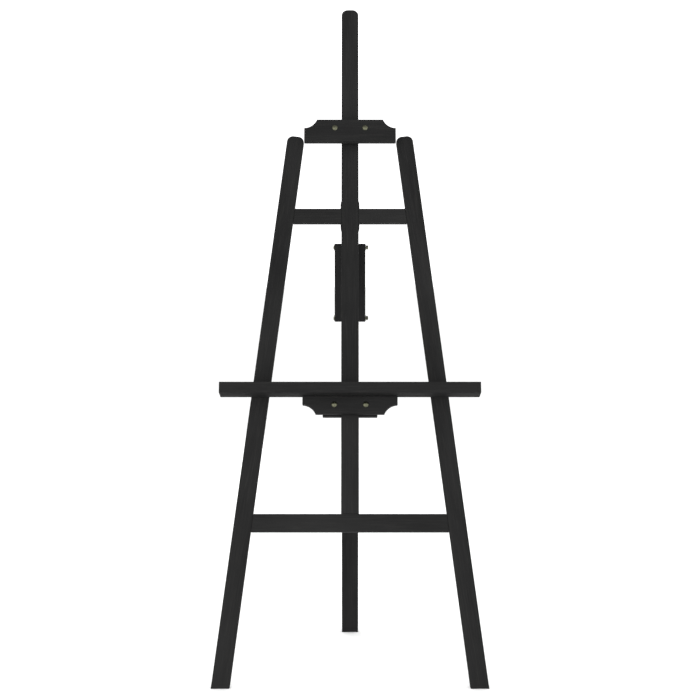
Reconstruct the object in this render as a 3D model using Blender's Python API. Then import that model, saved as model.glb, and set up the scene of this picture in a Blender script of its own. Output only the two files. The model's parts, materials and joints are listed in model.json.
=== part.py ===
"""Artist's A-frame easel, built from planed slats.

A front frame of two splayed legs, two crossbars and a mast leans back. A rear leg hangs behind it on a
two-bar yoke. A canvas tray and a top clamp slide on the mast, each held by two carriage bolts and wing nuts.

Metres, +Z up, the painter stands on the -Y side. The origin is on the floor, in the middle of the easel.
Inside the front plane's own frame, x runs across, y is the depth behind the legs' front faces, and z runs up
the slope from the floor.
"""
from math import acos, atan2, cos, pi, radians, sin, tan

import bmesh
import bpy
from mathutils import Matrix, Vector

# Stock and clearances
SLAT_W = 0.045
SLAT_T = 0.018
NARROW_SLAT_W = 0.0387
EDGE_R = 0.0012
GAP = 0.0003
SLIDE_GAP = 0.0005

# Front frame, measured in its own sloping plane
LEAN = radians(18.27)
SPLAY = radians(6.885)
FOOT_X = 0.317
LEG_LENGTH = 1.448
MAST_TOP = 1.8046
END_CORNER_R = 0.016
LOWER_BAR_Z = 0.3832
LOWER_BAR_W = SLAT_W
UPPER_BAR_Z = 1.1959
UPPER_BAR_W = NARROW_SLAT_W
SAW_ALLOWANCE = 0.030
FLOOR_CUTTER = 4.0

# Dowels
DOWEL_R = 0.004
DOWEL_LENGTH = 0.040
DOWEL_END = 0.001

# Hinge block, arm, yoke and rear leg
HINGE_BLOCK_W = 0.050
HINGE_BLOCK_H = 0.110
HINGE_BLOCK_Z = 1.167
HINGE_DROP = 0.025
ARM_TOP_MARGIN = 0.006
YOKE_SPAN = 0.190
YOKE_BAR_DEPTH = 0.020
REAR_LEAN = radians(8.05)

# Bolts, nuts and washers
BOLT_R = 0.003
BOLT_CLEARANCE = 0.0003
BOLT_END = 0.0006
BOLT_SPARE = 0.006
NECK_PROUD = 0.0003
NECK_LENGTH = 0.004
CARRIAGE_HEAD_R = 0.0074
YOKE_HEAD_R = 0.008
HEAD_H = 0.0034
WASHER_R = 0.0075
WASHER_T = 0.0014
NUT_ACROSS_FLATS = 0.010
NUT_H = 0.005
NUT_EDGE = 0.0004

# Wing nuts
WING_REACH = 0.015
WING_CLEARANCE = 0.0025
WING_T = 0.0026
WING_TIP_R = 0.0042
WING_TIP_Z = 0.0086
HUB_BASE_R = 0.006
HUB_TOP_R = 0.0046
HUB_H = 0.0088

# Wood screws
SCREW_R = 0.002
SCREW_HEAD_R = 0.004
SCREW_HEAD_H = 0.0024
SCREW_TIP = 0.006
RECESS_W = 0.0009
RECESS_REACH = 0.0022
RECESS_DEPTH = 0.0014
HINGE_SCREW_BITE = 0.012
HINGE_SCREW_INSET = 0.016
TRAY_SCREW_BITE = 0.022
TRAY_SCREW_SPACING = 0.080

# Carriages: heights are those of their bolts
CLAMP_Z = 1.4468
TRAY_Z = 0.7042
BOLT_X = SLAT_W / 2 + WING_REACH + WING_CLEARANCE
BOARD_LENGTH = 0.242
BOARD_H = 0.062
BOLT_TO_SCALLOPED_EDGE = 0.0238
SCALLOP_R = 0.037
SCALLOP_RUN = 0.0338
SCALLOP_DROP = 0.024
BLOCK_H = NARROW_SLAT_W
BLOCK_MARGIN = 0.030

# Tray
TRAY_LENGTH = 0.661
SHELF_Z = 0.0223
LIP_T = 0.0096
LIP_H = 0.0285

# Facets
CORNER_STEPS = 9
SCALLOP_STEPS = 12
END_STEPS = 14
ROUND_STEPS = 24
DOWEL_STEPS = 12
DOME_STEPS = 4

# Worked out from the above
MAST_BACK = SLAT_T
HINGE_BLOCK_Y = MAST_BACK + GAP
ARM_Y = HINGE_BLOCK_Y + SLAT_T + GAP
ARM_TOP = HINGE_BLOCK_Z + HINGE_BLOCK_H - ARM_TOP_MARGIN
HINGE_Y = ARM_Y + SLAT_T / 2
HINGE_Z = HINGE_BLOCK_Z - HINGE_DROP
REAR_BLOCK_Y = MAST_BACK + SLIDE_GAP
REAR_BLOCK_BACK = REAR_BLOCK_Y + SLAT_T
BLOCK_LENGTH = 2 * (BOLT_X + BLOCK_MARGIN)
YOKE_BAR_X = SLAT_W / 2 + GAP
YOKE_OUTER_X = YOKE_BAR_X + SLAT_T
BOLT_HOLE_R = BOLT_R + BOLT_CLEARANCE
EASEL_DEPTH = MAST_TOP * sin(LEAN) + MAST_BACK * cos(LEAN)
ALONG_Y = (-pi / 2, 0, 0)
ALONG_X = (0, pi / 2, 0)


# Scene, materials and objects

def clear_scene():
    for old in list(bpy.data.objects):
        bpy.data.objects.remove(old, do_unlink=True)


def finish(name, color, roughness, metallic=0.0):
    material = bpy.data.materials.new(name)
    material.use_nodes = True
    shader = material.node_tree.nodes["Principled BSDF"]
    shader.inputs["Base Color"].default_value = (*color, 1)
    shader.inputs["Roughness"].default_value = roughness
    shader.inputs["Metallic"].default_value = metallic
    return material


def empty(name, parent=None, location=(0, 0, 0), rotation=(0, 0, 0)):
    marker = bpy.data.objects.new(name, None)
    marker.parent = parent
    marker.location = location
    marker.rotation_euler = rotation
    bpy.context.scene.collection.objects.link(marker)
    return marker


def piece(name, bm, parent, material, location=(0, 0, 0), rotation=(0, 0, 0)):
    """Turn a bmesh into an object under its parent's frame."""
    bmesh.ops.recalc_face_normals(bm, faces=bm.faces)
    mesh = bpy.data.meshes.new(name)
    bm.to_mesh(mesh)
    bm.free()
    if material:
        mesh.materials.append(material)
    made = bpy.data.objects.new(name, mesh)
    made.parent = parent
    made.location = location
    made.rotation_euler = rotation
    bpy.context.scene.collection.objects.link(made)
    return made


def copies(stem, bm, places, parent, material):
    """One numbered object for each place, all sharing one mesh."""
    first = piece(f"{stem}_1", bm, parent, material)
    made = [first]
    for number in range(2, len(places) + 1):
        copy = bpy.data.objects.new(f"{stem}_{number}", first.data)
        copy.parent = parent
        bpy.context.scene.collection.objects.link(copy)
        made.append(copy)
    for copy, place in zip(made, places):
        copy.matrix_local = place
    smooth(first)
    return made


def cutter(name, bm, parent, location=(0, 0, 0), rotation=(0, 0, 0)):
    """A hidden shape for Boolean modifiers."""
    made = piece(name, bm, parent, None, location, rotation)
    made.hide_render = True
    made.display_type = "WIRE"
    return made


def smooth(made):
    made.data.shade_smooth()
    made.data.set_sharp_from_angle(angle=radians(35))
    return made


def ease_edges(made, width=EDGE_R):
    """Round over the long edges, as planed and sanded stock has them."""
    bevel = made.modifiers.new("eased_edges", "BEVEL")
    bevel.width = width
    bevel.segments = 2
    bevel.limit_method = "ANGLE"
    bevel.angle_limit = radians(30)
    return made


def boolean(made, tool, operation="DIFFERENCE"):
    modifier = made.modifiers.new(f"{operation.lower()}_{tool.name}", "BOOLEAN")
    modifier.operation = operation
    modifier.solver = "EXACT"
    modifier.object = tool
    return made


# Shapes

def arc(center, radius, start, end, steps):
    """Points from start to end angle, in radians, about a centre."""
    return [
        (center[0] + radius * cos(start + (end - start) * i / steps),
         center[1] + radius * sin(start + (end - start) * i / steps))
        for i in range(steps + 1)
    ]


def rectangle(left, right, bottom, top):
    return [(left, bottom), (right, bottom), (right, top), (left, top)]


def prism(outline, start, end, axis="Y"):
    """A flat outline extruded along an axis. Outlines are (x, z), or (y, z) for X and (x, y) for Z."""
    place = {
        "X": lambda u, v: (start, u, v),
        "Y": lambda u, v: (u, start, v),
        "Z": lambda u, v: (u, v, start),
    }[axis]
    travel = Vector([end - start if axis == letter else 0 for letter in "XYZ"])
    bm = bmesh.new()
    face = bm.faces.new([bm.verts.new(place(u, v)) for u, v in outline])
    extruded = bmesh.ops.extrude_face_region(bm, geom=[face])["geom"]
    moved = [item for item in extruded if isinstance(item, bmesh.types.BMVert)]
    bmesh.ops.translate(bm, verts=moved, vec=travel)
    return bm


def turned(profile, steps=ROUND_STEPS):
    """A profile of (radius, z) points turned about Z. It starts and ends on the axis, or it is a loop."""
    bm = bmesh.new()
    points = [bm.verts.new((radius, 0, z)) for radius, z in profile]
    closed = profile[0][0] > 0
    pairs = list(zip(points, points[1:]))
    if closed:
        pairs.append((points[-1], points[0]))
    edges = [bm.edges.new(pair) for pair in pairs]
    bmesh.ops.spin(
        bm, geom=points + edges, cent=(0, 0, 0), axis=(0, 0, 1), angle=2 * pi, steps=steps, use_merge=True
    )
    bmesh.ops.remove_doubles(bm, verts=bm.verts, dist=1e-7)
    return bm


def gathered(shape, places):
    """Copies of one shape at several places, in one mesh, for a cutter that drills them all."""
    single = bpy.data.meshes.new("single")
    shape.to_mesh(single)
    shape.free()
    bm = bmesh.new()
    for place in places:
        known = set(bm.verts)
        bm.from_mesh(single)
        bmesh.ops.transform(bm, matrix=place, verts=[v for v in bm.verts if v not in known])
    bpy.data.meshes.remove(single)
    return bm


def rod(radius, start, end, steps, chamfer=0.0):
    """A round bar along Z. A chamfer of zero leaves square ends."""
    ends = [(radius, start), (radius, end)]
    if chamfer:
        ends = [
            (radius - chamfer, start), (radius, start + chamfer),
            (radius, end - chamfer), (radius - chamfer, end),
        ]
    return turned([(0, start), *ends, (0, end)], steps)


def ring(inner, outer, start, end):
    return turned([(inner, start), (outer, start), (outer, end), (inner, end)])


def slat_outline(width, bottom, top, corner):
    """An upright slat with a square foot and two round corners at its top."""
    half = width / 2
    inner = half - corner
    return [
        (-half, bottom), (half, bottom),
        *arc((inner, top - corner), corner, 0, pi / 2, CORNER_STEPS),
        *arc((-inner, top - corner), corner, pi / 2, pi, CORNER_STEPS),
    ]


def stadium_outline(width, bottom, top):
    radius = width / 2
    return [
        *arc((0, top - radius), radius, 0, pi, END_STEPS),
        *arc((0, bottom + radius), radius, pi, 2 * pi, END_STEPS),
    ]


def scalloped_outline(below):
    """A board with hollow shoulders at its top corners, about the height of its bolts."""
    half = BOARD_LENGTH / 2
    above = BOLT_TO_SCALLOPED_EDGE
    shoulder = Vector((half - SCALLOP_RUN, above))
    corner = Vector((half, above - SCALLOP_DROP))
    chord = corner - shoulder
    outward = Vector((-chord.y, chord.x)).normalized()
    rise = (SCALLOP_R ** 2 - (chord.length / 2) ** 2) ** 0.5
    center = (shoulder + corner) / 2 + outward * rise
    first = atan2(*reversed(shoulder - center)) % (2 * pi)
    last = atan2(*reversed(corner - center)) % (2 * pi)
    hollow = arc(center, SCALLOP_R, first, last, SCALLOP_STEPS)
    mirrored = [(-x, z) for x, z in reversed(hollow)]
    return [*hollow, (half, -below), (-half, -below), *mirrored]


def upside_down(outline):
    return [(x, -z) for x, z in outline]


def link_outline(depth, bottom, top):
    """A bar seen from its side, half round about a bolt at both ends."""
    half = depth / 2
    return [*arc((0, top), half, 0, pi, END_STEPS), *arc((0, bottom), half, pi, 2 * pi, END_STEPS)]


# Fasteners

def carriage_bolt(name, head_r, length, parent, material, location, rotation):
    """A domed head below z = 0, a square neck and a plain shank along +Z."""
    dome_r = (head_r ** 2 + HEAD_H ** 2) / (2 * HEAD_H)
    spread = acos((dome_r - HEAD_H) / dome_r)
    dome = [
        (dome_r * sin(spread * i / DOME_STEPS), dome_r - HEAD_H - dome_r * cos(spread * i / DOME_STEPS))
        for i in range(DOME_STEPS + 1)
    ]
    profile = [*dome, (BOLT_R, 0), (BOLT_R, length - BOLT_END), (BOLT_R - BOLT_END, length), (0, length)]
    bolt = smooth(piece(name, turned(profile), parent, material, location, rotation))
    side = BOLT_R + NECK_PROUD
    neck = cutter(
        f"{name}_neck", prism(rectangle(-side, side, -side, side), -HEAD_H / 4, NECK_LENGTH, "Z"),
        parent, location, rotation,
    )
    return boolean(bolt, neck, "UNION")


def bolt_hole(name, start, end, neck_face, parent, location, rotation):
    """A round hole along Z with a square pocket for the bolt's neck, which starts at neck_face."""
    hole = cutter(name, rod(BOLT_HOLE_R, start, end, ROUND_STEPS), parent, location, rotation)
    side = BOLT_R + NECK_PROUD + BOLT_CLEARANCE
    pocket = cutter(
        f"{name}_pocket",
        prism(
            rectangle(-side, side, -side, side),
            neck_face - NECK_LENGTH, neck_face + NECK_LENGTH + BOLT_CLEARANCE, "Z",
        ),
        parent, location, rotation,
    )
    return hole, pocket


def hex_nut(name, parent, material, location, rotation):
    corner = NUT_ACROSS_FLATS / 2 / cos(pi / 6)
    outline = arc((0, 0), corner, 0, 2 * pi, 6)[:-1]
    nut = piece(name, prism(outline, 0, NUT_H, "Z"), parent, material, location, rotation)
    ease_edges(nut, NUT_EDGE)
    bore = cutter(
        f"{name}_bore", rod(BOLT_HOLE_R, -NUT_H, 2 * NUT_H, ROUND_STEPS), parent, location, rotation
    )
    return boolean(nut, bore)


def wing_nut(name, parent, material, location, rotation):
    """A tapered hub with two ears, its base at z = 0."""
    hub = turned([(0, 0), (HUB_BASE_R, 0), (HUB_TOP_R, HUB_H), (0, HUB_H)])
    nut = smooth(piece(name, hub, parent, material, location, rotation))
    root = HUB_TOP_R / 2
    ear = [
        (root, HUB_H / 6),
        *arc((WING_REACH - WING_TIP_R, WING_TIP_Z), WING_TIP_R, -pi * 0.42, pi * 0.70, END_STEPS),
        (root, HUB_H * 5 / 6),
    ]
    half_turn = Matrix.Rotation(pi, 4, "Z")
    ears = gathered(prism(ear, -WING_T / 2, WING_T / 2), [Matrix.Identity(4), half_turn])
    boolean(nut, cutter(f"{name}_ears", ears, parent, location, rotation), "UNION")
    bore = cutter(
        f"{name}_bore", rod(BOLT_HOLE_R, -HUB_H, 2 * HUB_H, ROUND_STEPS), parent, location, rotation
    )
    return boolean(nut, bore)


def screw_shape(length):
    """A countersunk screw along +Z, its head's face at z = 0."""
    profile = [
        (0, 0), (SCREW_HEAD_R, 0), (SCREW_R, SCREW_HEAD_H), (SCREW_R, length - SCREW_TIP), (0, length),
    ]
    return turned(profile, DOWEL_STEPS)


def screw_hole(length):
    """The countersunk hole for a screw, a gap wider all round and open above its head."""
    head, shank = SCREW_HEAD_R + GAP, SCREW_R + GAP
    profile = [
        (0, -SCREW_HEAD_H), (head, -SCREW_HEAD_H), (head, GAP), (shank, SCREW_HEAD_H + GAP),
        (shank, length - SCREW_TIP), (0, length + 2 * GAP),
    ]
    return turned(profile, DOWEL_STEPS)


def recess_shape():
    """A cross, for the screwdriver."""
    long, short = RECESS_REACH, RECESS_W / 2
    outline = [
        (short, -long), (short, -short), (long, -short), (long, short), (short, short), (short, long),
        (-short, long), (-short, short), (-long, short), (-long, -short), (-short, -short), (-short, -long),
    ]
    return prism(outline, -RECESS_DEPTH, RECESS_DEPTH, "Z")


def screws(stem, length, places, parent, material):
    """Numbered screws, and the cutter for their holes."""
    recesses = cutter(f"{stem}_recesses", gathered(recess_shape(), places), parent)
    for screw in copies(stem, screw_shape(length), places, parent, material):
        boolean(screw, recesses)
    return cutter(f"{stem}_holes", gathered(screw_hole(length), places), parent)


def dowels(stem, places, parent, material):
    """Numbered dowels, and the cutter for their holes."""
    half = DOWEL_LENGTH / 2
    copies(stem, rod(DOWEL_R, -half, half, DOWEL_STEPS, DOWEL_END), places, parent, material)
    hole = rod(DOWEL_R + GAP, -half - GAP, half + GAP, DOWEL_STEPS)
    return cutter(f"{stem}_holes", gathered(hole, places), parent)


# Front frame

def leg_inner_x(z):
    """Half the space between the legs at a height in the front plane."""
    return FOOT_X - z * tan(SPLAY) - SLAT_W / 2 / cos(SPLAY)


def crossbar(name, bottom, width, plane, paint):
    top = bottom + width
    end_gap = GAP / cos(SPLAY)
    low, high = leg_inner_x(bottom) - end_gap, leg_inner_x(top) - end_gap
    outline = [(-low, bottom), (low, bottom), (high, top), (-high, top)]
    return ease_edges(piece(name, prism(outline, 0, SLAT_T), plane, paint))


def crossbar_dowel_places(bottom, width):
    """Two dowels across each of the bar's two joints with the legs."""
    places = []
    for share in (0.25, 0.75):
        z = bottom + width * share
        for side in (-1, 1):
            center = Matrix.Translation((side * leg_inner_x(z), SLAT_T / 2, z))
            places.append(center @ Matrix.Rotation(pi / 2, 4, "Y"))
    return places


def front_frame(plane, floor, paint, raw_wood):
    legs = []
    for name, side in (("left_leg", -1), ("right_leg", 1)):
        outline = slat_outline(SLAT_W, -SAW_ALLOWANCE, LEG_LENGTH, END_CORNER_R)
        leg = piece(
            name, prism(outline, 0, SLAT_T), plane, paint, (side * FOOT_X, 0, 0), (0, -side * SPLAY, 0)
        )
        legs.append(boolean(ease_edges(leg), floor))

    lower = crossbar("lower_crossbar", LOWER_BAR_Z, LOWER_BAR_W, plane, paint)
    upper = crossbar("upper_crossbar", UPPER_BAR_Z, UPPER_BAR_W, plane, paint)
    lower_top = LOWER_BAR_Z + LOWER_BAR_W
    mast_outline = slat_outline(SLAT_W, lower_top + GAP, MAST_TOP, END_CORNER_R)
    mast = ease_edges(piece("mast", prism(mast_outline, 0, SLAT_T), plane, paint))

    lap = SLAT_T / 2
    past = SLAT_T
    side = SLAT_W / 2 + GAP
    upper_top = UPPER_BAR_Z + UPPER_BAR_W
    bar_slot = rectangle(-side, side, UPPER_BAR_Z - past, upper_top + past)
    boolean(upper, cutter("bar_lap", prism(bar_slot, -past, lap + GAP / 2), plane))
    mast_slot = rectangle(-SLAT_W, SLAT_W, UPPER_BAR_Z - GAP, upper_top + GAP)
    boolean(mast, cutter("mast_lap", prism(mast_slot, lap - GAP / 2, SLAT_T + past), plane))

    for bar, stem, bottom, width in (
        (lower, "lower_bar_dowel", LOWER_BAR_Z, LOWER_BAR_W),
        (upper, "upper_bar_dowel", UPPER_BAR_Z, UPPER_BAR_W),
    ):
        holes = dowels(stem, crossbar_dowel_places(bottom, width), plane, raw_wood)
        for drilled in (bar, *legs):
            boolean(drilled, holes)
    places = [Matrix.Translation((x, SLAT_T / 2, lower_top)) for x in (-SLAT_W / 4, SLAT_W / 4)]
    holes = dowels("mast_dowel", places, plane, raw_wood)
    boolean(mast, holes)
    boolean(lower, holes)
    return mast


def hinge(plane, mast, paint, bright_zinc):
    """The block and arm that carry the yoke's top bolt."""
    block_top = HINGE_BLOCK_Z + HINGE_BLOCK_H
    stadium = stadium_outline(HINGE_BLOCK_W, HINGE_BLOCK_Z, block_top)
    block = ease_edges(piece(
        "hinge_block", prism(stadium, HINGE_BLOCK_Y, HINGE_BLOCK_Y + SLAT_T), plane, paint
    ))
    half = SLAT_T / 2
    side = [
        (half, ARM_TOP - HINGE_Z), (-half, ARM_TOP - HINGE_Z), *arc((0, 0), half, pi, 2 * pi, END_STEPS)
    ]
    arm = ease_edges(piece(
        "hinge_arm", prism(side, -SLAT_W / 2, SLAT_W / 2, "X"), plane, paint, (0, HINGE_Y, HINGE_Z)
    ))
    boolean(arm, cutter(
        "arm_bore", rod(BOLT_HOLE_R, -SLAT_W, SLAT_W, ROUND_STEPS), plane, (0, HINGE_Y, HINGE_Z), ALONG_X
    ))
    length = 2 * (SLAT_T + GAP) + HINGE_SCREW_BITE
    back_to_front = Matrix.Rotation(pi / 2, 4, "X")
    places = [
        Matrix.Translation((x, ARM_Y + SLAT_T, z)) @ back_to_front
        for x in (-SLAT_W / 4, SLAT_W / 4)
        for z in (HINGE_BLOCK_Z + HINGE_SCREW_INSET, block_top - HINGE_SCREW_INSET)
    ]
    holes = screws("hinge_screw", length, places, plane, bright_zinc)
    for drilled in (arm, block, mast):
        boolean(drilled, holes)


# Carriages

def block_outline():
    """A plain block across the mast, its top level with a scalloped board's top."""
    half = BLOCK_LENGTH / 2
    top = BOLT_TO_SCALLOPED_EDGE
    return rectangle(-half, half, top - BLOCK_H, top)


def board_piece(name, outline, front, carriage, paint):
    """One thickness of board with its front face at a depth in the plane."""
    return ease_edges(piece(name, prism(outline, front, front + SLAT_T), carriage, paint))


def clamping_set(stem, front, drilled, carriage, yellow_zinc, bright_zinc):
    """Two carriage bolts through a carriage, with washers and wing nuts at its back."""
    washer_y = REAR_BLOCK_BACK + GAP
    nut_y = washer_y + WASHER_T + GAP
    length = nut_y + HUB_H + BOLT_SPARE - front
    places = []
    for side, x in (("left", -BOLT_X), ("right", BOLT_X)):
        head_at = (x, front - GAP, 0)
        carriage_bolt(
            f"{stem}_bolt_{side}", CARRIAGE_HEAD_R, length, carriage, yellow_zinc, head_at, ALONG_Y
        )
        for tool in bolt_hole(f"{stem}_{side}_hole", -SLAT_T, length, 0, carriage, head_at, ALONG_Y):
            for board in drilled:
                boolean(board, tool)
        wing_nut(f"{stem}_wing_nut_{side}", carriage, bright_zinc, (x, nut_y, 0), ALONG_Y)
        places.append(Matrix.Translation((x, washer_y, 0)) @ Matrix.Rotation(-pi / 2, 4, "X"))
    washer = ring(BOLT_HOLE_R, WASHER_R, 0, WASHER_T)
    copies(f"{stem}_washer", washer, places, carriage, bright_zinc)


def top_clamp(plane, paint, yellow_zinc, bright_zinc):
    carriage = empty("clamp_carriage", plane, (0, 0, CLAMP_Z))
    spacer_front = -SLIDE_GAP - SLAT_T
    front = spacer_front - GAP - SLAT_T
    outline = scalloped_outline(BOARD_H - BOLT_TO_SCALLOPED_EDGE)
    block = block_outline()
    board = board_piece("clamp_board", outline, front, carriage, paint)
    spacer = board_piece("clamp_spacer", block, spacer_front, carriage, paint)
    rear = board_piece("clamp_rear_block", block, REAR_BLOCK_Y, carriage, paint)
    clamping_set("clamp", front, (board, spacer, rear), carriage, yellow_zinc, bright_zinc)


def canvas_tray(plane, paint, yellow_zinc, bright_zinc):
    carriage = empty("tray_carriage", plane, (0, 0, TRAY_Z))
    back = -SLIDE_GAP
    front = back - SLAT_T
    outline = upside_down(scalloped_outline(SHELF_Z - GAP))
    block = upside_down(block_outline())
    board = board_piece("tray_board", outline, front, carriage, paint)
    rear = board_piece("tray_rear_block", block, REAR_BLOCK_Y, carriage, paint)
    clamping_set("tray", front, (board, rear), carriage, yellow_zinc, bright_zinc)

    half = TRAY_LENGTH / 2
    shelf_top = SHELF_Z + SLAT_T
    shelf_front = back - SLAT_W
    shelf = ease_edges(piece(
        "tray_shelf", prism(rectangle(-half, half, SHELF_Z, shelf_top), shelf_front, back), carriage, paint
    ))
    lip_back = shelf_front - GAP
    ease_edges(piece(
        "tray_lip", prism(rectangle(-half, half, SHELF_Z, SHELF_Z + LIP_H), lip_back - LIP_T, lip_back),
        carriage, paint,
    ))
    downward = Matrix.Rotation(pi, 4, "X")
    places = [
        Matrix.Translation((x, back - SLAT_T / 2, shelf_top)) @ downward
        for x in (-TRAY_SCREW_SPACING, 0, TRAY_SCREW_SPACING)
    ]
    holes = screws("tray_screw", SLAT_T + TRAY_SCREW_BITE, places, carriage, bright_zinc)
    boolean(shelf, holes)
    boolean(board, holes)


# Yoke and rear leg

def yoke(pivot, paint, yellow_zinc):
    """Two bars beside the hinge arm and the rear leg. The pivot is on the top bolt."""
    bolt_heights = {"top": 0, "bottom": -YOKE_SPAN}
    bars = []
    for name, inner, outer in (
        ("yoke_bar_left", -YOKE_OUTER_X, -YOKE_BAR_X), ("yoke_bar_right", YOKE_BAR_X, YOKE_OUTER_X)
    ):
        outline = link_outline(YOKE_BAR_DEPTH, -YOKE_SPAN, 0)
        bars.append(ease_edges(piece(name, prism(outline, inner, outer, "X"), pivot, paint)))
    washer_x = YOKE_OUTER_X + GAP
    nut_x = washer_x + WASHER_T + GAP
    length = nut_x + NUT_H + BOLT_END + YOKE_OUTER_X + GAP
    places = []
    for level, z in bolt_heights.items():
        head_at = (-YOKE_OUTER_X - GAP, 0, z)
        carriage_bolt(f"yoke_{level}_bolt", YOKE_HEAD_R, length, pivot, yellow_zinc, head_at, ALONG_X)
        for tool in bolt_hole(f"yoke_{level}_hole", -SLAT_T, length, 0, pivot, head_at, ALONG_X):
            for bar in bars:
                boolean(bar, tool)
        hex_nut(f"yoke_{level}_nut", pivot, yellow_zinc, (nut_x, 0, z), ALONG_X)
        places.append(Matrix.Translation((washer_x, 0, z)) @ Matrix.Rotation(pi / 2, 4, "Y"))
    washer = ring(BOLT_HOLE_R, WASHER_R, 0, WASHER_T)
    copies("yoke_washer", washer, places, pivot, yellow_zinc)


def rear_leg(pivot, floor, paint):
    """The pivot is on the yoke's bottom bolt. The foot is sawn level with the floor."""
    hinge_height = HINGE_Z * cos(LEAN) - HINGE_Y * sin(LEAN)
    reach = hinge_height / cos(REAR_LEAN) - YOKE_SPAN + SAW_ALLOWANCE
    half = SLAT_T / 2
    side = [(-half, -reach), (half, -reach), *arc((0, 0), half, 0, pi, END_STEPS)]
    leg = ease_edges(piece("rear_leg", prism(side, -SLAT_W / 2, SLAT_W / 2, "X"), pivot, paint))
    bore = cutter("leg_bore", rod(BOLT_HOLE_R, -SLAT_W, SLAT_W, ROUND_STEPS), pivot, (0, 0, 0), ALONG_X)
    boolean(leg, bore)
    boolean(leg, floor)


def build():
    clear_scene()
    paint = finish("black_paint", (0.028, 0.028, 0.028), 0.55)
    raw_wood = finish("beech_dowel", (0.58, 0.42, 0.26), 0.7)
    yellow_zinc = finish("yellow_zinc", (0.34, 0.34, 0.24), 0.45, 1.0)
    bright_zinc = finish("bright_zinc", (0.50, 0.50, 0.51), 0.40, 1.0)

    easel = empty("easel", None, (0, -EASEL_DEPTH / 2, 0))
    plane = empty("front_plane", easel, (0, 0, 0), (-LEAN, 0, 0))
    side = FLOOR_CUTTER / 2
    floor = cutter("below_floor", prism(rectangle(-side, side, -side, 0), -side, side), easel)

    mast = front_frame(plane, floor, paint, raw_wood)
    hinge(plane, mast, paint, bright_zinc)
    top_clamp(plane, paint, yellow_zinc, bright_zinc)
    canvas_tray(plane, paint, yellow_zinc, bright_zinc)

    yoke_pivot = empty("yoke_pivot", plane, (0, HINGE_Y, HINGE_Z), (LEAN + REAR_LEAN, 0, 0))
    yoke(yoke_pivot, paint, yellow_zinc)
    leg_pivot = empty("leg_pivot", yoke_pivot, (0, 0, -YOKE_SPAN))
    rear_leg(leg_pivot, floor, paint)


build()
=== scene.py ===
"""Looks of the artist's easel: matt black paint over pine, zinc-plated hardware, a pale studio, a camera."""
import json
from math import acos, ceil, cos, pi, radians, sin

import bmesh
import bpy
from mathutils import Matrix, Vector

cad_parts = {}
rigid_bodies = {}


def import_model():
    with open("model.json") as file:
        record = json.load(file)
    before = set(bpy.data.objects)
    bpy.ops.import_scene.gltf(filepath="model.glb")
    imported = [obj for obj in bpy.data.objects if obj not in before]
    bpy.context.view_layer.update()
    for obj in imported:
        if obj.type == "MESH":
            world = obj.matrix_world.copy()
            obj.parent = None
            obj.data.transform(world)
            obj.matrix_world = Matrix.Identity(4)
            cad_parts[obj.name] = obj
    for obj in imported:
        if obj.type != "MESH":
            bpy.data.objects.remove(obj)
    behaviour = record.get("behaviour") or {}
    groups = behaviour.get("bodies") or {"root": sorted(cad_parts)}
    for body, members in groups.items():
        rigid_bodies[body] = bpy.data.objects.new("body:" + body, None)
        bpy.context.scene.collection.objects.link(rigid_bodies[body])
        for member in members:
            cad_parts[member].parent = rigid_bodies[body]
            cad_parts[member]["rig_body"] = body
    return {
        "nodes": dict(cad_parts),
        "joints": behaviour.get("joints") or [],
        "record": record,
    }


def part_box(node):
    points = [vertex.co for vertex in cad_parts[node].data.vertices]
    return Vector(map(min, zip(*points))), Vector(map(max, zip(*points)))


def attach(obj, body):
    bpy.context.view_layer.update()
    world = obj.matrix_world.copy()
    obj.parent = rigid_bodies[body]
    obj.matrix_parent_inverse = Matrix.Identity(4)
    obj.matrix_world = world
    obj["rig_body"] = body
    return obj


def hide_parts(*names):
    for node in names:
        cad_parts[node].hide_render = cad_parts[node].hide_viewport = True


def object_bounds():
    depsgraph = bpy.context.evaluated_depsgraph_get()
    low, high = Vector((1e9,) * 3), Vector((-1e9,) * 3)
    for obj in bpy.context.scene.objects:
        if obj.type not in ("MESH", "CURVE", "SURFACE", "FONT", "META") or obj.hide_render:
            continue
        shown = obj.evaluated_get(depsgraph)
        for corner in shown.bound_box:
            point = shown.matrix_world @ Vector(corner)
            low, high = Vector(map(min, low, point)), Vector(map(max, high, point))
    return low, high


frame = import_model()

cad_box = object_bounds()
NODES = frame["nodes"]
SLOTS = {row["node"]: row["material_slot"] for row in frame["record"]["subparts"]}
BODY_OF = {name: node["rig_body"] for name, node in NODES.items()}
JOINTS = {joint["name"]: joint for joint in frame["joints"]}

# Directions, from the frame
ACROSS = Vector((1, 0, 0))
UP_MAST = Vector(JOINTS["tray_slide"]["axis"]).normalized()
THROUGH_FRONT = Vector(JOINTS["tray_wing_nut_left_turn"]["axis"]).normalized()
DOWN_REAR_LEG = (Vector(JOINTS["leg_swing"]["pos_m"]) - Vector(JOINTS["yoke_fold"]["pos_m"])).normalized()

# Camera: its distance from the front feet, its height, its pitch and its view
CAMERA_BACK = 3.695
CAMERA_HEIGHT = 1.097
CAMERA_PITCH = radians(85.83)
CAMERA_LENS = 79.5
SENSOR = 36.0

# Lamps: offset from the easel's middle, length of a side, watts
LAMPS = {
    "key": (Vector((-2.2, -4.2, 0.5)), 2.4, 62),
    "fill": (Vector((2.6, -4.0, 0.2)), 2.4, 46),
    "back": (Vector((-1.6, 3.8, 1.2)), 2.4, 60),
    "side": (Vector((3.8, 1.6, 0.8)), 2.0, 36),
}

# World: its strength against the height of a direction, white at the horizon and dimmer overhead
WORLD_FADE = {"From Min": 0.50, "From Max": 0.92, "To Min": 1.50, "To Max": 0.70}

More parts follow.
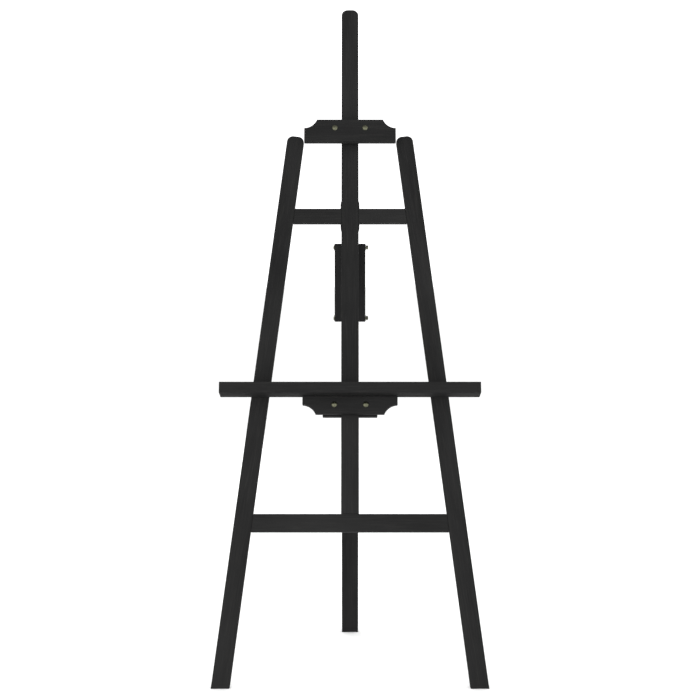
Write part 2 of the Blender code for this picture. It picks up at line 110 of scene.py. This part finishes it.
# Floor: half its side, its two tones and the size of its mottle in features per metre
FLOOR_REACH = 30
FLOOR_TONES = ((0.955, 0.955, 0.955), (0.975, 0.975, 0.975))
FLOOR_MOTTLE = 3.0

# Noise stays mostly between these values
MOST_NOISE = (0.3, 0.7)

# Paint: an even film, thinner over raised fibres, deeper in pores, rubbed on edges
PAINT = (0.0150, 0.0150, 0.0151)
PAINT_THIN = (0.0270, 0.0263, 0.0252)
PAINT_DEEP = (0.0092, 0.0092, 0.0093)
RUBBED = (0.034, 0.031, 0.027)
THIN_SHOWS = 0.60
PORES_SHOW = 0.45
MOST_RUBBED = 0.40
PAINT_ROUGHNESS = (0.66, 0.78)
EDGES_POLISH = 0.12
THIN_DULLS = 0.06
PAINT_IOR = 1.45
PAINT_SPECULAR = 0.06

# Grain: features per metre, two numbers across it and one along it
WANDER = (9, 9, 1.2)
RINGS = (80, 20, 1.0)
RING_WAVES = 42.0
FIBRES = (1300, 1300, 22)
PORES = (2600, 2600, 90)
CLOUDS = (11, 11, 3)
FILM = 480.0
SEED_STEP = (0.37, 0.73, 1.31)

# Where a pattern starts, and where it is full
LATEWOOD_LIMITS = (0.1, 1.0)
RAISED_LIMITS = (0.40, 0.70)
PORE_LIMITS = (0.62, 0.74)
RUB_LIMITS = (0.50, 0.68)
FILM_LIMITS = (0.3, 0.6)

# The least that early wood and a smooth film let through of the fibres and of the wear
EARLYWOOD_SHARE = 0.35
SMOOTH_FILM_SHARE = 0.4

# Relief: height in metres, and strength
LATEWOOD_RELIEF = (0.00008, 0.7)
FIBRE_RELIEF = (0.00006, 0.9)
PORE_RELIEF = (-0.00005, 0.7)
FILM_RELIEF = (0.00004, 0.6)

# Outer edges: radius looked at, and the cosines where an edge is full and where it ends
PAINT_EDGE = (0.0014, 0.80, 0.99)
PLATING_EDGE = (0.0004, 0.80, 0.985)

# Plating: bright crystals, dull crystals, stained specks
YELLOW_ZINC = ((0.125, 0.127, 0.088), (0.070, 0.070, 0.046), (0.03, 0.03, 0.02))
BRIGHT_ZINC = ((0.22, 0.22, 0.225), (0.13, 0.13, 0.135), (0.05, 0.05, 0.05))
PLATING_ROUGHNESS = (0.27, 0.44)
CRYSTALS = 700.0
CRYSTAL_LIMITS = (0.36, 0.64)
SPECKS = 2400.0
SPECK_LIMITS = (0.58, 0.70)
SPECKS_SHOW = 0.7
SCRATCHES = (260, 4200, 4200)
CRYSTAL_RELIEF = (0.00002, 0.5)
SCRATCH_RELIEF = (0.000012, 0.7)
WORN_SHOWS = 0.35
WORN_BRIGHTER = 1.5

# Raw beech, in the dowels: grain along X
BEECH = ((0.50, 0.34, 0.20), (0.66, 0.49, 0.32))
BEECH_FLECK = (0.36, 0.22, 0.12)
BEECH_FIBRES = (90, 900, 900)
BEECH_FLECKS = (400, 1500, 1500)
FLECK_LIMITS = (0.60, 0.70)
FLECKS_SHOW = 0.5
BEECH_ROUGHNESS = (0.62, 0.75)
BEECH_RELIEF = (0.00005, 0.6)

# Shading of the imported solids
WELD_DISTANCE = 0.00001
WOOD_CREASE = radians(50)

# Bolts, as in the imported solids
BOLT_R = 0.003
NECK_HALF = 0.0033
NECK_LENGTH = 0.004
HEAD_H = 0.0034

# Bolts' finer shapes
NECK_CORNER = 1.33
NECK_TAPER = 0.0006
PLAIN_SHANK = 0.002
SHANK_STEP = 0.0002
BOLT_STEPS = 40
BOLT_CREASE = radians(42)

# The head's rim, and in rims: how far its crown stays in, and its rounding as (up, in) steps
HEAD_RIM = 0.0006
CROWN_INSET = 0.2
RIM_ROUNDING = ((0.55, 0.0), (0.2, 0.12), (0.0, 0.45))
CROWN_STEPS = 9
CROWN_TIP_R = 0.00005

# Threads: the crest's depth is a share of the thread's, the run-out a share of the pitch
THREAD_PITCH = 0.001
THREAD_DEPTH = 0.00055
THREAD_LENGTH = 0.022
CREST_SHARE = 0.15
RUN_OUT = 0.6
ROWS_A_TURN = 8
POINT_LENGTH = 0.0006
POINT_CHAMFER = 0.0003

# Washers: the punched corner is a share of the rounded one
WASHER_EDGE = 0.00025
PUNCHED_SHARE = 0.4
WASHER_CLEARANCE = 0.0003
WASHER_STEPS = 56
WASHER_EDGE_STEPS = 4
WASHER_CREASE = radians(40)

# Nuts' bores
BORE_CLEARANCE = 0.0002
BORE_MOUTH = 0.0005
BORE_STEPS = 40
DRILL_PAST = 0.001

# Hexagon nuts: the cone that turns their corners down, its drop, face and clear width as shares
NUT_ACROSS_FLATS = 0.010
TURN_DROP = 0.62
TURN_FACE = 0.97
TURN_CLEAR = 1.01
TURN_PAST = 0.00001
TURN_STEPS = 72
NUT_CREASE = radians(22)

# Wing nuts' hubs: radii, and steps (out from the radius, in from the face) at the foot and the top
HUB_BASE_R = 0.0058
HUB_TOP_R = 0.0045
HUB_FOOT = ((-0.0004, 0), (0, 0.0004), (0, 0.0012))
HUB_TOP = ((0.0003, 0.0012), (-0.0002, 0.0003), (-0.0008, 0))
HUB_STEPS = 48

# Wing nuts' ears
WING_REACH = 0.0146
WING_EAR_R = 0.0040
WING_EAR_Z = 0.0084
WING_T = 0.0024
WING_ROOT = (0.001, 0.0012)
WING_SHOULDER = 0.86
WING_ARC = (-pi * 0.42, pi * 0.72)
WING_STEPS = 20
CAST_VOXEL = 0.00032
CAST_SMOOTHING = 0.5
CAST_PASSES = 7
WING_DRILL_BELOW = 0.002
WING_DRILL_ABOVE = 0.004
WING_CREASE = radians(60)


# Node graphs

class Graph:
    """A material's node tree, with short calls for the nodes used here."""

    def __init__(self, name):
        self.material = bpy.data.materials.new(name)
        self.material.use_nodes = True
        self.tree = self.material.node_tree
        self.shader = self.tree.nodes["Principled BSDF"]

    def node(self, kind, **settings):
        made = self.tree.nodes.new(kind)
        for key, value in settings.items():
            setattr(made, key, value)
        return made

    def link(self, source, target):
        self.tree.links.new(source, target)

    def set(self, made, **values):
        for key, value in values.items():
            made.inputs[key.replace("_", " ")].default_value = value

    def shade(self, **sources):
        """Links sources to the shader's sockets."""
        for key, source in sources.items():
            self.link(source, self.shader.inputs[key.replace("_", " ")])

    def mapped(self, vector, **values):
        """A vector moved, turned or stretched by a Mapping node's Location, Rotation or Scale."""
        mapping = self.node("ShaderNodeMapping", vector_type="POINT")
        self.set(mapping, **values)
        self.link(vector, mapping.inputs["Vector"])
        return mapping.outputs["Vector"]

    def object_coordinates(self):
        return self.node("ShaderNodeTexCoord").outputs["Object"]

    def noise(self, vector, scale=1.0, detail=3.0, roughness=0.55, distortion=0.0):
        made = self.node("ShaderNodeTexNoise")
        self.set(made, Scale=scale, Detail=detail, Roughness=roughness, Distortion=distortion)
        self.link(vector, made.inputs["Vector"])
        return made.outputs["Fac"]

    def stretched_noise(self, vector, scales, **settings):
        """Noise with its own number of features per metre along each axis."""
        return self.noise(self.mapped(vector, Scale=scales), **settings)

    def math(self, operation, *values):
        made = self.node("ShaderNodeMath", operation=operation)
        for slot, value in enumerate(values):
            if isinstance(value, (int, float)):
                made.inputs[slot].default_value = value
            else:
                self.link(value, made.inputs[slot])
        return made.outputs[0]

    def times(self, first, second):
        return self.math("MULTIPLY", first, second)

    def spread(self, value, limits, onto=(0.0, 1.0)):
        """A value between two limits carried over to two others."""
        made = self.node("ShaderNodeMapRange", clamp=True)
        self.set(made, From_Min=limits[0], From_Max=limits[1], To_Min=onto[0], To_Max=onto[1])
        self.link(value, made.inputs["Value"])
        return made.outputs["Result"]

    def mix(self, factor, first, second):
        made = self.node("ShaderNodeMix", data_type="RGBA")
        self.link(factor, made.inputs["Factor"])
        for key, color in (("A", first), ("B", second)):
            socket = next(s for s in made.inputs if s.name == key and s.type == "RGBA")
            if isinstance(color, tuple):
                socket.default_value = (*color, 1)
            else:
                self.link(color, socket)
        return next(s for s in made.outputs if s.type == "RGBA")

    def bump(self, height, relief, below=None):
        distance, strength = relief
        made = self.node("ShaderNodeBump")
        self.set(made, Strength=strength, Distance=distance)
        self.link(height, made.inputs["Height"])
        if below:
            self.link(below, made.inputs["Normal"])
        return made.outputs["Normal"]

    def edges(self, radius, full, end):
        """1 on outer edges and 0 on flat faces, from how far a rounded normal leaves the real one."""
        rounded = self.node("ShaderNodeBevel", samples=6)
        self.set(rounded, Radius=radius)
        facing = self.node("ShaderNodeVectorMath", operation="DOT_PRODUCT")
        self.link(rounded.outputs["Normal"], facing.inputs[0])
        self.link(self.node("ShaderNodeNewGeometry").outputs["Normal"], facing.inputs[1])
        return self.spread(facing.outputs["Value"], (full, end), (1.0, 0.0))


# Materials

def painted_wood(name, along, across, seed):
    """Matt black paint over planed pine: grain shows through the film, and edges are a little rubbed."""
    graph = Graph(name)
    z = along.normalized()
    x = (across - z * across.dot(z)).normalized()
    turn = Matrix((x, z.cross(x), z)).to_euler()
    apart = tuple(seed * step for step in SEED_STEP)
    grain = graph.mapped(graph.object_coordinates(), Rotation=turn, Location=apart)

    wander = graph.stretched_noise(grain, WANDER, detail=2.0)
    rings = graph.stretched_noise(grain, RINGS, detail=2.0, roughness=0.5, distortion=0.6)
    waves = graph.math("SINE", graph.times(graph.math("ADD", rings, wander), RING_WAVES))
    latewood = graph.spread(waves, LATEWOOD_LIMITS)
    fibres = graph.stretched_noise(grain, FIBRES, roughness=0.6)
    pores = graph.spread(graph.stretched_noise(grain, PORES, detail=2.0), PORE_LIMITS)
    film = graph.noise(grain, FILM)
    clouds = graph.stretched_noise(grain, CLOUDS)
    edge = graph.edges(*PAINT_EDGE)

    in_latewood = graph.spread(latewood, (0.0, 1.0), (EARLYWOOD_SHARE, 1.0))
    thin = graph.times(graph.spread(fibres, RAISED_LIMITS), in_latewood)
    patchy = graph.spread(clouds, RUB_LIMITS, (0.0, MOST_RUBBED))
    wear = graph.times(edge, graph.times(patchy, graph.spread(film, FILM_LIMITS, (SMOOTH_FILM_SHARE, 1.0))))

    color = graph.mix(graph.spread(clouds, MOST_NOISE), PAINT, PAINT_DEEP)
    color = graph.mix(graph.times(thin, THIN_SHOWS), color, PAINT_THIN)
    color = graph.mix(graph.times(pores, PORES_SHOW), color, PAINT_DEEP)
    color = graph.mix(wear, color, RUBBED)

    rough = graph.spread(clouds, MOST_NOISE, PAINT_ROUGHNESS)
    rough = graph.math("SUBTRACT", rough, graph.times(edge, EDGES_POLISH))
    rough = graph.math("ADD", rough, graph.times(thin, THIN_DULLS))

    normal = graph.bump(latewood, LATEWOOD_RELIEF)
    normal = graph.bump(fibres, FIBRE_RELIEF, normal)
    normal = graph.bump(pores, PORE_RELIEF, normal)
    normal = graph.bump(film, FILM_RELIEF, normal)

    graph.set(graph.shader, IOR=PAINT_IOR, Specular_IOR_Level=PAINT_SPECULAR)
    graph.shade(Base_Color=color, Roughness=rough, Normal=normal)
    return graph.material


def plated_steel(name, bright, dull, stain):
    """Zinc plating: cloudy crystalline patches, fine scratches, brighter edges and stained specks."""
    graph = Graph(name)
    source = graph.object_coordinates()
    patches = graph.noise(source, CRYSTALS, detail=4.0, roughness=0.6)
    specks = graph.noise(source, SPECKS, detail=2.0)
    scratches = graph.stretched_noise(source, SCRATCHES, detail=2.0)
    worn = graph.edges(*PLATING_EDGE)
    polished = tuple(min(1.0, channel * WORN_BRIGHTER) for channel in bright)

    color = graph.mix(graph.spread(patches, CRYSTAL_LIMITS), dull, bright)
    color = graph.mix(graph.spread(specks, SPECK_LIMITS, (0.0, SPECKS_SHOW)), color, stain)
    color = graph.mix(graph.times(worn, WORN_SHOWS), color, polished)
    rough = graph.spread(patches, MOST_NOISE, PLATING_ROUGHNESS)
    normal = graph.bump(patches, CRYSTAL_RELIEF)
    normal = graph.bump(scratches, SCRATCH_RELIEF, normal)

    graph.set(graph.shader, Metallic=1.0)
    graph.shade(Base_Color=color, Roughness=rough, Normal=normal)
    return graph.material


def raw_beech(name):
    graph = Graph(name)
    source = graph.object_coordinates()
    fibres = graph.stretched_noise(source, BEECH_FIBRES)
    flecks = graph.spread(graph.stretched_noise(source, BEECH_FLECKS, detail=2.0), FLECK_LIMITS)
    color = graph.mix(graph.times(flecks, FLECKS_SHOW), graph.mix(fibres, *BEECH), BEECH_FLECK)
    rough = graph.spread(fibres, MOST_NOISE, BEECH_ROUGHNESS)
    graph.shade(Base_Color=color, Roughness=rough, Normal=graph.bump(fibres, BEECH_RELIEF))
    return graph.material


# Wood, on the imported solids

def soften(node):
    """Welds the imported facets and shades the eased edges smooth."""
    for polygon in node.data.polygons:
        polygon.use_smooth = True
    weld = node.modifiers.new("weld", "WELD")
    weld.merge_threshold = WELD_DISTANCE
    split = node.modifiers.new("creases", "EDGE_SPLIT")
    split.split_angle = WOOD_CREASE
    weighted = node.modifiers.new("weighted", "WEIGHTED_NORMAL")
    weighted.keep_sharp = True


def dress(node, material):
    node.data.materials.clear()
    node.data.materials.append(material)
    soften(node)


def leg_direction(leg):
    """Along a splayed leg, from its box: its foot is on the outer side and its top on the inner side."""
    low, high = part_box(leg)
    lean_in = high.x - low.x if low.x < 0 else low.x - high.x
    return (UP_MAST * (high - low).z / UP_MAST.z + ACROSS * lean_in).normalized()


GRAIN = {
    "left_leg": leg_direction("left_leg"), "right_leg": leg_direction("right_leg"), "mast": UP_MAST,
    "hinge_block": UP_MAST, "hinge_arm": UP_MAST,
    "rear_leg": DOWN_REAR_LEG, "yoke_bar_left": DOWN_REAR_LEG, "yoke_bar_right": DOWN_REAR_LEG,
}


def dress_wood():
    """Paints each piece along its grain, which runs across the easel unless GRAIN says otherwise."""
    beech = raw_beech("raw_beech")
    for seed, (name, node) in enumerate(sorted(NODES.items())):
        if SLOTS[name] == "dowel_beech":
            dress(node, beech)
        elif SLOTS[name] == "black_painted_wood":
            along = GRAIN.get(name, ACROSS)
            across = ACROSS if name in GRAIN else UP_MAST
            dress(node, painted_wood(f"paint_{name}", along, across, seed))


# Meshes for the fasteners

def arc(center, radius, start, end, steps):
    angles = [start + (end - start) * i / steps for i in range(steps + 1)]
    return [(center[0] + radius * cos(angle), center[1] + radius * sin(angle)) for angle in angles]


def lathe(rows, steps):
    """A closed body about Z from rows of (z, radius), where a radius may be a function of the angle."""
    bm = bmesh.new()
    rings = []
    for z, radius in rows:
        ring = []
        for i in range(steps):
            angle = 2 * pi * i / steps
            r = radius(angle) if callable(radius) else radius
            ring.append(bm.verts.new((r * cos(angle), r * sin(angle), z)))
        rings.append(ring)
    for lower, upper in zip(rings, rings[1:]):
        for i in range(steps):
            j = (i + 1) % steps
            bm.faces.new((lower[i], lower[j], upper[j], upper[i]))
    for ring, z, flip in ((rings[0], rows[0][0], True), (rings[-1], rows[-1][0], False)):
        center = bm.verts.new((0, 0, z))
        for i in range(steps):
            j = (i + 1) % steps
            corner = (ring[j], ring[i], center) if flip else (ring[i], ring[j], center)
            bm.faces.new(corner)
    return bm


def turned_ring(profile, steps):
    """A ring about Z from a closed (radius, z) profile."""
    bm = bmesh.new()
    sections = []
    for i in range(steps):
        angle = 2 * pi * i / steps
        sections.append([bm.verts.new((r * cos(angle), r * sin(angle), z)) for r, z in profile])
    for here, following in zip(sections, sections[1:] + sections[:1]):
        for a in range(len(profile)):
            b = (a + 1) % len(profile)
            bm.faces.new((here[a], here[b], following[b], following[a]))
    return bm


def prism(first_outline, second_outline):
    """A solid between two like outlines."""
    bm = bmesh.new()
    first = [bm.verts.new(point) for point in first_outline]
    second = [bm.verts.new(point) for point in second_outline]
    bm.faces.new(first[::-1])
    bm.faces.new(second)
    for i in range(len(first)):
        j = (i + 1) % len(first)
        bm.faces.new((first[i], first[j], second[j], second[i]))
    return bm


def mesh_of(name, bm):
    mesh = bpy.data.meshes.new(name)
    bm.to_mesh(mesh)
    bm.free()
    return mesh


def solid_mesh(name, bm):
    bmesh.ops.recalc_face_normals(bm, faces=bm.faces)
    return mesh_of(name, bm)


def linked(made):
    bpy.context.scene.collection.objects.link(made)
    return made


def scratch_object(bm):
    return linked(bpy.data.objects.new("scratch", solid_mesh("scratch", bm)))


def combine(made, tool, operation):
    modifier = made.modifiers.new(operation, "BOOLEAN")
    modifier.operation = operation
    modifier.solver = "EXACT"
    modifier.object = tool


def baked(made, tools):
    """The object's shape with its modifiers applied. The object and its tools are removed."""
    graph = bpy.context.evaluated_depsgraph_get()
    mesh = bpy.data.meshes.new_from_object(made.evaluated_get(graph))
    for used in (made, *tools):
        bpy.data.objects.remove(used, do_unlink=True)
    return mesh


# Fasteners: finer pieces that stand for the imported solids

def placed_on(node, axis):
    """The frame of a round node: its middle line as Z, from its lower end, and its length."""
    points = [vertex.co for vertex in NODES[node].data.vertices]
    along = [point.dot(axis) for point in points]
    start, end = min(along), max(along)
    side = axis.orthogonal().normalized() if axis == ACROSS else ACROSS
    other = axis.cross(side)
    middle = axis * start
    for direction in (side, other):
        reach = [point.dot(direction) for point in points]
        middle += direction * (min(reach) + max(reach)) / 2
    turn = Matrix((side, other, axis)).transposed().to_4x4()
    return Matrix.Translation(middle) @ turn, end - start


def radius_of(node, place):
    inward = place.inverted()
    return max((inward @ vertex.co).to_2d().length for vertex in NODES[node].data.vertices)


def finer_name(node):
    return f"{node}_plated"


def add(node, mesh, place, material, crease):
    """Adds the piece that stands for a node: it rides on the node's body and takes its slot."""
    mesh.shade_smooth()
    mesh.set_sharp_from_angle(angle=crease)
    mesh.materials.clear()
    mesh.materials.append(material)
    piece = linked(bpy.data.objects.new(finer_name(node), mesh))
    piece.matrix_world = place
    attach(piece, BODY_OF[node])
    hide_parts(node)


def square(half):
    """The radius of a square bar with soft corners at an angle."""
    def radius(angle):
        return min(half / max(abs(cos(angle)), abs(sin(angle))), half * NECK_CORNER)
    return radius


def head_rows(head_r):
    """A low dome with a small round rim, from its crown at z = 0 to its flat underside."""
    crown_r = (head_r ** 2 + HEAD_H ** 2) / (2 * HEAD_H)
    spread = acos((crown_r - HEAD_H + HEAD_RIM) / crown_r)
    scale = (head_r - HEAD_RIM * CROWN_INSET) / (crown_r * sin(spread))
    angles = [spread * i / CROWN_STEPS for i in range(CROWN_STEPS + 1)]
    crown = [
        (crown_r - crown_r * cos(angle), max(CROWN_TIP_R, crown_r * sin(angle) * scale)) for angle in angles
    ]
    return crown + [(HEAD_H - HEAD_RIM * up, head_r - HEAD_RIM * inset) for up, inset in RIM_ROUNDING]


def threaded_rows(start, end):
    """Rows of a screw thread: a rounded V that climbs one pitch each turn and runs out at both ends."""
    def row(z):
        fade = min(1.0, (z - start) / THREAD_PITCH, (end - z) / (THREAD_PITCH * RUN_OUT))
        depth = THREAD_DEPTH * max(0.0, fade)

        def radius(angle):
            phase = (z / THREAD_PITCH - angle / (2 * pi)) % 1.0
            groove = 1 - abs(2 * phase - 1)
            return BOLT_R - depth * (CREST_SHARE + (1 - CREST_SHARE) * groove)
        return radius
    count = ceil((end - start) / THREAD_PITCH * ROWS_A_TURN)
    heights = [start + (end - start) * i / count for i in range(count + 1)]
    return [(z, row(z)) for z in heights]


def carriage_bolt(node, axis, material):
    """A carriage bolt: domed head, square neck, plain shank and a rolled thread at its far end."""
    place, length = placed_on(node, axis)
    neck_end = HEAD_H + NECK_LENGTH
    thread_start = max(neck_end + PLAIN_SHANK, length - THREAD_LENGTH)
    point_r = BOLT_R - THREAD_DEPTH
    rows = [
        *head_rows(radius_of(node, place)),
        (HEAD_H, square(NECK_HALF)), (neck_end - NECK_TAPER, square(NECK_HALF)), (neck_end, BOLT_R),
        (thread_start - SHANK_STEP, BOLT_R),
        *threaded_rows(thread_start, length - POINT_LENGTH),
        (length - POINT_CHAMFER, point_r), (length, point_r - POINT_CHAMFER),
    ]
    mesh = solid_mesh(finer_name(node), lathe(rows, BOLT_STEPS))
    add(node, mesh, place, material, BOLT_CREASE)


def washer(node, axis, material):
    """A pressed washer: rounded on one side and crisper on the punched side."""
    place, thickness = placed_on(node, axis)
    outer = radius_of(node, place)
    inner = BOLT_R + WASHER_CLEARANCE
    edge = WASHER_EDGE
    punched = edge * PUNCHED_SHARE
    profile = [
        (inner, 0), (outer - punched, 0), (outer, punched),
        *arc((outer - edge, thickness - edge), edge, 0, pi / 2, WASHER_EDGE_STEPS),
        *arc((inner + edge, thickness - edge), edge, pi / 2, pi, WASHER_EDGE_STEPS),
    ]
    mesh = solid_mesh(finer_name(node), turned_ring(profile, WASHER_STEPS))
    add(node, mesh, place, material, WASHER_CREASE)


def hex_nut_mesh(height):
    """A hexagon nut with turned-down corners on both faces and a chamfered bore."""
    flat = NUT_ACROSS_FLATS / 2
    corner = flat / cos(pi / 6)
    outlines = [
        [(corner * cos(pi / 3 * i), corner * sin(pi / 3 * i), z) for i in range(6)] for z in (0, height)
    ]
    nut = scratch_object(prism(*outlines))
    drop = (corner - flat) * TURN_DROP
    face = flat * TURN_FACE
    clear = corner * TURN_CLEAR
    cone = [(-TURN_PAST, face), (drop, clear), (height - drop, clear), (height + TURN_PAST, face)]
    turned_down = scratch_object(lathe(cone, TURN_STEPS))
    combine(nut, turned_down, "INTERSECT")
    mouth = BOLT_R + BORE_MOUTH
    bore = BOLT_R + BORE_CLEARANCE
    drilled = [
        (-DRILL_PAST, mouth), (0, mouth), (BORE_MOUTH, bore),
        (height - BORE_MOUTH, bore), (height, mouth), (height + DRILL_PAST, mouth),
    ]
    drill = scratch_object(lathe(drilled, BORE_STEPS))
    combine(nut, drill, "DIFFERENCE")
    return baked(nut, (turned_down, drill))


def hex_nut(node, axis, material):
    place, height = placed_on(node, axis)
    add(node, hex_nut_mesh(height), place, material, NUT_CREASE)


def wing_nut_mesh(height):
    """A cast wing nut: a tapered hub with two ears that flow into it, bored through."""
    foot = [(z, HUB_BASE_R + out) for out, z in HUB_FOOT]
    top = [(height - z, HUB_TOP_R + out) for out, z in HUB_TOP]
    nut = scratch_object(lathe(foot + top, HUB_STEPS))
    root_x = WING_ROOT[0]
    tools = []
    for side in (1, -1):
        ear = [
            WING_ROOT,
            *arc((WING_REACH - WING_EAR_R, WING_EAR_Z), WING_EAR_R, *WING_ARC, WING_STEPS),
            (root_x, height * WING_SHOULDER),
        ]
        outlines = [[(side * x, y, z) for x, z in ear] for y in (-WING_T / 2, WING_T / 2)]
        tools.append(scratch_object(prism(*outlines)))
        combine(nut, tools[-1], "UNION")
    remesh = nut.modifiers.new("cast", "REMESH")
    remesh.mode = "VOXEL"
    remesh.voxel_size = CAST_VOXEL
    soft = nut.modifiers.new("soft", "SMOOTH")
    soft.factor = CAST_SMOOTHING
    soft.iterations = CAST_PASSES
    bore = BOLT_R + BORE_CLEARANCE
    drilled = [(-WING_DRILL_BELOW, bore), (height + WING_DRILL_ABOVE, bore)]
    drill = scratch_object(lathe(drilled, BORE_STEPS))
    combine(nut, drill, "DIFFERENCE")
    return baked(nut, (*tools, drill))


def fit_height(mesh, height):
    """Moves a mesh's two end faces exactly onto z = 0 and z = height."""
    low = min(vertex.co.z for vertex in mesh.vertices)
    high = max(vertex.co.z for vertex in mesh.vertices)
    for vertex in mesh.vertices:
        vertex.co.z = (vertex.co.z - low) / (high - low) * height
    return mesh


def wing_nut(node, axis, material):
    place, height = placed_on(node, axis)
    add(node, fit_height(wing_nut_mesh(height), height), place, material, WING_CREASE)


def fasteners():
    """Plates the wood screws as packed, and makes the other fasteners anew."""
    metals = {
        "yellow_zinc": plated_steel("yellow_zinc", *YELLOW_ZINC),
        "bright_zinc": plated_steel("bright_zinc", *BRIGHT_ZINC),
    }
    makers = {"washer": washer, "wing_nut": wing_nut, "nut": hex_nut, "bolt": carriage_bolt}
    for node in sorted(NODES):
        if SLOTS[node] not in metals:
            continue
        material = metals[SLOTS[node]]
        if "screw" in node:
            dress(NODES[node], material)
        else:
            axis = ACROSS if node.startswith("yoke") else THROUGH_FRONT
            make = next(makers[word] for word in makers if word in node)
            make(node, axis, material)


# Studio

def world_light():
    """White all round, dimmer overhead, like a white sweep under a darker ceiling."""
    world = bpy.data.worlds.new("studio")
    world.use_nodes = True
    tree = world.node_tree
    background = tree.nodes["Background"]
    background.inputs["Color"].default_value = (1, 1, 1, 1)
    source = tree.nodes.new("ShaderNodeTexCoord")
    split = tree.nodes.new("ShaderNodeSeparateXYZ")
    fade = tree.nodes.new("ShaderNodeMapRange")
    fade.interpolation_type = "SMOOTHSTEP"
    for key, value in WORLD_FADE.items():
        fade.inputs[key].default_value = value
    tree.links.new(source.outputs["Generated"], split.inputs["Vector"])
    tree.links.new(split.outputs["Z"], fade.inputs["Value"])
    tree.links.new(fade.outputs["Result"], background.inputs["Strength"])
    bpy.context.scene.world = world


def floor():
    bm = bmesh.new()
    bmesh.ops.create_grid(bm, x_segments=1, y_segments=1, size=FLOOR_REACH)
    made = linked(bpy.data.objects.new("floor", mesh_of("floor", bm)))
    graph = Graph("pale_floor")
    mottle = graph.noise(graph.object_coordinates(), FLOOR_MOTTLE, detail=4.0)
    graph.shade(Base_Color=graph.mix(mottle, *FLOOR_TONES))
    graph.set(graph.shader, Roughness=0.95, Specular_IOR_Level=0.2)
    made.data.materials.append(graph.material)


def lamps():
    low, high = cad_box
    middle = (low + high) / 2
    for name, (offset, size, power) in LAMPS.items():
        lamp = bpy.data.lights.new(name, "AREA")
        lamp.size = size
        lamp.energy = power
        made = linked(bpy.data.objects.new(name, lamp))
        made.location = middle + offset
        made.rotation_euler = (-offset).to_track_quat("-Z", "Y").to_euler()


def camera():
    data = bpy.data.cameras.new("camera")
    data.sensor_width = SENSOR
    data.lens = CAMERA_LENS
    made = linked(bpy.data.objects.new("camera", data))
    made.location = (0, cad_box[0].y - CAMERA_BACK, CAMERA_HEIGHT)
    made.rotation_euler = (CAMERA_PITCH, 0, 0)
    bpy.context.scene.camera = made


dress_wood()
fasteners()
world_light()
floor()
lamps()
camera()
bpy.context.scene.view_settings.view_transform = "Standard"
